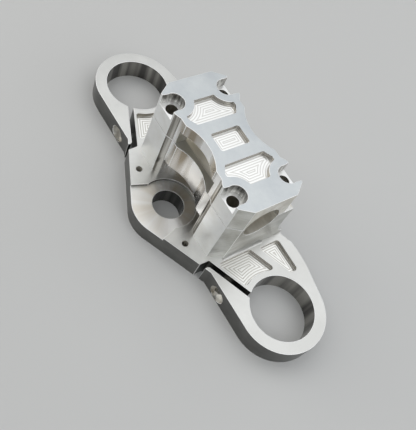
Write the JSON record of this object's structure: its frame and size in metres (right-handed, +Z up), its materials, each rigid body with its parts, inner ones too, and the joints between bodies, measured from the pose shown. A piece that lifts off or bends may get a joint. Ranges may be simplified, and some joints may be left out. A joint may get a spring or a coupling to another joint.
{
  "type": "motorcycle triple clamp",
  "caption": "Top triple clamp milled from aluminium: split rings grip the fork tubes and a riser with a bolted cap holds the handlebar.",
  "frame": {"origin": "steering stem axis at the underside of the plate", "axes": "+X towards the right fork tube, +Y ahead of the bike, +Z up along the steering stem"},
  "size_m": [0.2822, 0.1023, 0.0835],
  "materials": {
    "milled_aluminium": "milled, bare",
    "satin_aluminium": "milled, satin top"
  },
  "bodies": {
    "root": {"yoke": "milled_aluminium", "handlebar_clamp_cap": "satin_aluminium"}
  },
  "joints": []
}
